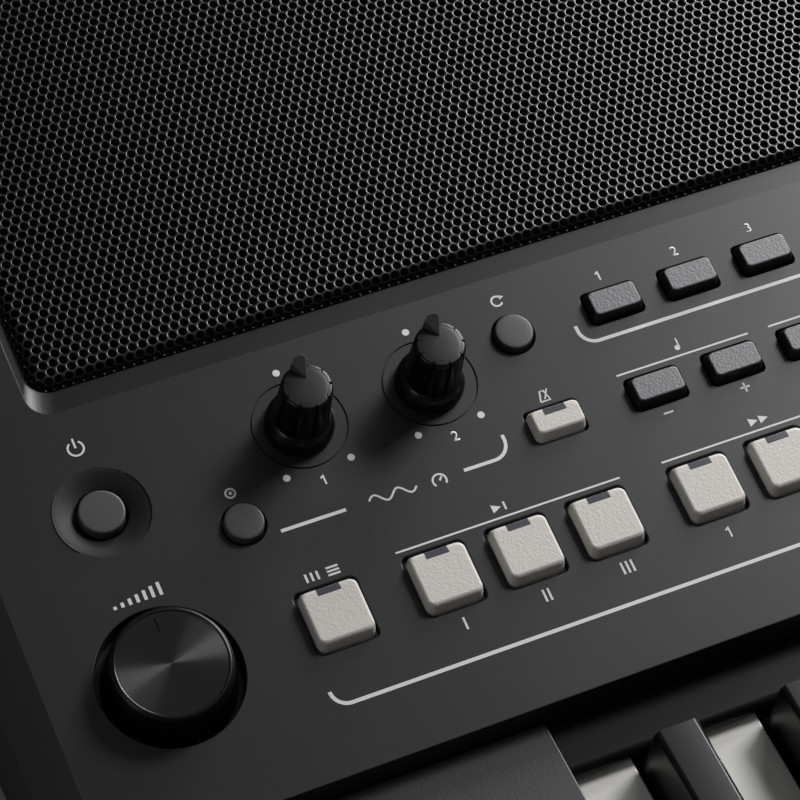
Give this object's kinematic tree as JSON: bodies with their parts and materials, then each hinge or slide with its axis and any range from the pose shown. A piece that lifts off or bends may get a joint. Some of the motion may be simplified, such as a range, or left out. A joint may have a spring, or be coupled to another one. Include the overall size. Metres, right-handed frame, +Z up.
{
  "type": "arranger keyboard",
  "caption": "Arranger keyboard with sloped control panel, pierced speaker grilles, live control knobs, cap buttons with lamp windows and full-size keys.",
  "frame": {"origin": "centre of the body's footprint, on the surface that the feet stand on", "axes": "+X to the player's right along the keys, +Y from the player to the rear wall, +Z up"},
  "size_m": [1.004, 0.41, 0.134],
  "materials": {
    "panel_plastic": "fine matte texture",
    "lower_plastic": "matte",
    "end_plastic": "matte",
    "gloss_black": "gloss",
    "frame_plastic": "matte",
    "board": "solder mask",
    "grille_metal": "satin black paint",
    "speaker_cone": "matte",
    "lens": "gloss",
    "socket_plastic": "matte",
    "rubber": "matte",
    "screw_steel": "satin",
    "lamp_window": "satin",
    "light_cap": "fine leather grain",
    "dark_cap": "fine leather grain",
    "round_cap": "satin",
    "knob_gloss": "gloss",
    "volume_top": "circular brushed, black",
    "wheel_plastic": "matte",
    "white_key": "gloss",
    "black_key": "satin"
  },
  "bodies": {
    "case": {"bottom_case": "lower_plastic", "top_case": "panel_plastic", "left_cheek": "end_plastic", "right_cheek": "end_plastic", "key_strip": "gloss_black", "key_frame": "frame_plastic", "key_rod": "screw_steel", "panel_board": "board", "grille_left": "grille_metal", "grille_right": "grille_metal", "speaker_left": "speaker_cone", "speaker_right": "speaker_cone", "display_lens": "lens", "rear_jacks": "socket_plastic", "dc_inlet": "socket_plastic", "feet": "rubber", "case_screws": "screw_steel"},
    "power_button": {"power_button": "round_cap"},
    "volume_knob": {"volume_knob": "volume_top"},
    "live_knob_1": {"live_knob_1": "knob_gloss"},
    "live_knob_2": {"live_knob_2": "knob_gloss"},
    "assign_button": {"assign_button": "round_cap"},
    "tap_button": {"tap_button": "round_cap"},
    "metronome_button": {"metronome_button": "light_cap", "metronome_lamp": "lamp_window"},
    "accomp_button": {"accomp_button": "light_cap", "accomp_lamp": "lamp_window"},
    "intro_button_1": {"intro_button_1": "light_cap", "intro_lamp_1": "lamp_window"},
    "intro_button_2": {"intro_button_2": "light_cap", "intro_lamp_2": "lamp_window"},
    "intro_button_3": {"intro_button_3": "light_cap", "intro_lamp_3": "lamp_window"},
    "main_button_1": {"main_button_1": "light_cap", "main_lamp_1": "lamp_window"},
    "main_button_2": {"main_button_2": "light_cap", "main_lamp_2": "lamp_window"},
    "main_buttons_more": {"main_buttons_more": "light_cap"},
    "tempo_minus": {"tempo_minus": "dark_cap"},
    "tempo_plus": {"tempo_plus": "dark_cap"},
    "transpose_minus": {"transpose_minus": "dark_cap"},
    "transpose_plus": {"transpose_plus": "dark_cap"},
    "style_button_1": {"style_button_1": "dark_cap"},
    "style_button_2": {"style_button_2": "dark_cap"},
    "style_button_3": {"style_button_3": "dark_cap"},
    "style_buttons_more": {"style_buttons_more": "dark_cap"},
    "transport_buttons": {"transport_buttons": "light_cap"},
    "display_buttons": {"display_buttons": "dark_cap"},
    "voice_buttons": {"voice_buttons": "dark_cap"},
    "memory_buttons": {"memory_buttons": "light_cap"},
    "data_dial": {"data_dial": "knob_gloss"},
    "pitch_wheel": {"pitch_wheel": "wheel_plastic"},
    "modulation_wheel": {"modulation_wheel": "wheel_plastic"},
    "keys_low": {"white_keys_low": "white_key", "black_keys_low": "black_key"},
    "keys_mid": {"white_keys_mid": "white_key", "black_keys_mid": "black_key"},
    "keys_high": {"white_keys_high": "white_key", "black_keys_high": "black_key"}
  },
  "joints": [
    {"name": "power_button_press", "type": "slide", "parent": "case", "child": "power_button", "axis": [0, 0.1766, -0.9843], "range_m": [0, 0.0012], "stiffness_N_per_m": 600, "springref_m": -0.0008},
    {"name": "volume_knob_turn", "type": "hinge", "parent": "case", "child": "volume_knob", "pos_m": [-0.4771, -0.01939, 0.09549], "axis": [0, -0.1766, 0.9843], "range_deg": [-150, 150]},
    {"name": "live_knob_1_turn", "type": "hinge", "parent": "case", "child": "live_knob_1", "pos_m": [-0.4326, 0.02234, 0.10298], "axis": [0, -0.1766, 0.9843], "range_deg": [-146, 146]},
    {"name": "live_knob_2_turn", "type": "hinge", "parent": "case", "child": "live_knob_2", "pos_m": [-0.40355, 0.02234, 0.10298], "axis": [0, -0.1766, 0.9843], "range_deg": [-146, 146]},
    {"name": "assign_button_press", "type": "slide", "parent": "case", "child": "assign_button", "axis": [0, 0.1766, -0.9843], "range_m": [0, 0.0012], "stiffness_N_per_m": 600, "springref_m": -0.0008},
    {"name": "tap_button_press", "type": "slide", "parent": "case", "child": "tap_button", "axis": [0, 0.1766, -0.9843], "range_m": [0, 0.0012], "stiffness_N_per_m": 600, "springref_m": -0.0008},
    {"name": "metronome_button_press", "type": "slide", "parent": "case", "child": "metronome_button", "axis": [0, 0.1766, -0.9843], "range_m": [0, 0.0012], "stiffness_N_per_m": 600, "springref_m": -0.0008},
    {"name": "accomp_button_press", "type": "slide", "parent": "case", "child": "accomp_button", "axis": [0, 0.1766, -0.9843], "range_m": [0, 0.0012], "stiffness_N_per_m": 600, "springref_m": -0.0008},
    {"name": "intro_button_1_press", "type": "slide", "parent": "case", "child": "intro_button_1", "axis": [0, 0.1766, -0.9843], "range_m": [0, 0.0012], "stiffness_N_per_m": 600, "springref_m": -0.0008},
    {"name": "intro_button_2_press", "type": "slide", "parent": "case", "child": "intro_button_2", "axis": [0, 0.1766, -0.9843], "range_m": [0, 0.0012], "stiffness_N_per_m": 600, "springref_m": -0.0008},
    {"name": "intro_button_3_press", "type": "slide", "parent": "case", "child": "intro_button_3", "axis": [0, 0.1766, -0.9843], "range_m": [0, 0.0012], "stiffness_N_per_m": 600, "springref_m": -0.0008},
    {"name": "main_button_1_press", "type": "slide", "parent": "case", "child": "main_button_1", "axis": [0, 0.1766, -0.9843], "range_m": [0, 0.0012], "stiffness_N_per_m": 600, "springref_m": -0.0008},
    {"name": "main_button_2_press", "type": "slide", "parent": "case", "child": "main_button_2", "axis": [0, 0.1766, -0.9843], "range_m": [0, 0.0012], "stiffness_N_per_m": 600, "springref_m": -0.0008},
    {"name": "main_buttons_more_press", "type": "slide", "parent": "case", "child": "main_buttons_more", "axis": [0, 0.1766, -0.9843], "range_m": [0, 0.0012], "stiffness_N_per_m": 600, "springref_m": -0.0008},
    {"name": "tempo_minus_press", "type": "slide", "parent": "case", "child": "tempo_minus", "axis": [0, 0.1766, -0.9843], "range_m": [0, 0.0012], "stiffness_N_per_m": 600, "springref_m": -0.0008},
    {"name": "tempo_plus_press", "type": "slide", "parent": "case", "child": "tempo_plus", "axis": [0, 0.1766, -0.9843], "range_m": [0, 0.0012], "stiffness_N_per_m": 600, "springref_m": -0.0008},
    {"name": "transpose_minus_press", "type": "slide", "parent": "case", "child": "transpose_minus", "axis": [0, 0.1766, -0.9843], "range_m": [0, 0.0012], "stiffness_N_per_m": 600, "springref_m": -0.0008},
    {"name": "transpose_plus_press", "type": "slide", "parent": "case", "child": "transpose_plus", "axis": [0, 0.1766, -0.9843], "range_m": [0, 0.0012], "stiffness_N_per_m": 600, "springref_m": -0.0008},
    {"name": "style_button_1_press", "type": "slide", "parent": "case", "child": "style_button_1", "axis": [0, 0.1766, -0.9843], "range_m": [0, 0.0012], "stiffness_N_per_m": 600, "springref_m": -0.0008},
    {"name": "style_button_2_press", "type": "slide", "parent": "case", "child": "style_button_2", "axis": [0, 0.1766, -0.9843], "range_m": [0, 0.0012], "stiffness_N_per_m": 600, "springref_m": -0.0008},
    {"name": "style_button_3_press", "type": "slide", "parent": "case", "child": "style_button_3", "axis": [0, 0.1766, -0.9843], "range_m": [0, 0.0012], "stiffness_N_per_m": 600, "springref_m": -0.0008},
    {"name": "style_buttons_more_press", "type": "slide", "parent": "case", "child": "style_buttons_more", "axis": [0, 0.1766, -0.9843], "range_m": [0, 0.0012], "stiffness_N_per_m": 600, "springref_m": -0.0008},
    {"name": "transport_buttons_press", "type": "slide", "parent": "case", "child": "transport_buttons", "axis": [0, 0.1766, -0.9843], "range_m": [0, 0.0012], "stiffness_N_per_m": 600, "springref_m": -0.0008},
    {"name": "display_buttons_press", "type": "slide", "parent": "case", "child": "display_buttons", "axis": [0, 0.1766, -0.9843], "range_m": [0, 0.0012], "stiffness_N_per_m": 600, "springref_m": -0.0008},
    {"name": "voice_buttons_press", "type": "slide", "parent": "case", "child": "voice_buttons", "axis": [0, 0.1766, -0.9843], "range_m": [0, 0.0012], "stiffness_N_per_m": 600, "springref_m": -0.0008},
    {"name": "memory_buttons_press", "type": "slide", "parent": "case", "child": "memory_buttons", "axis": [0, 0.1766, -0.9843], "range_m": [0, 0.0012], "stiffness_N_per_m": 600, "springref_m": -0.0008},
    {"name": "data_dial_turn", "type": "hinge", "parent": "case", "child": "data_dial", "pos_m": [0.13, 0.00709, 0.10024], "axis": [0, -0.1766, 0.9843], "continuous": true},
    {"name": "pitch_wheel_turn", "type": "hinge", "parent": "case", "child": "pitch_wheel", "pos_m": [-0.475, -0.117, 0.071], "axis": [-1, 0, 0], "range_deg": [-35, 35], "stiffness_Nm_per_rad": 0.15},
    {"name": "modulation_wheel_turn", "type": "hinge", "parent": "case", "child": "modulation_wheel", "pos_m": [-0.443, -0.117, 0.071], "axis": [-1, 0, 0], "range_deg": [0, 70]},
    {"name": "keys_low_press", "type": "hinge", "parent": "case", "child": "keys_low", "pos_m": [0, -0.035, 0.07], "axis": [1, 0, 0], "range_deg": [0, 3.2], "stiffness_Nm_per_rad": 21.6, "springref_deg": -6.88},
    {"name": "keys_mid_press", "type": "hinge", "parent": "case", "child": "keys_mid", "pos_m": [0, -0.035, 0.07], "axis": [1, 0, 0], "range_deg": [0, 3.2], "stiffness_Nm_per_rad": 10.8, "springref_deg": -6.88},
    {"name": "keys_high_press", "type": "hinge", "parent": "case", "child": "keys_high", "pos_m": [0, -0.035, 0.07], "axis": [1, 0, 0], "range_deg": [0, 3.2], "stiffness_Nm_per_rad": 22.5, "springref_deg": -6.88}
  ]
}
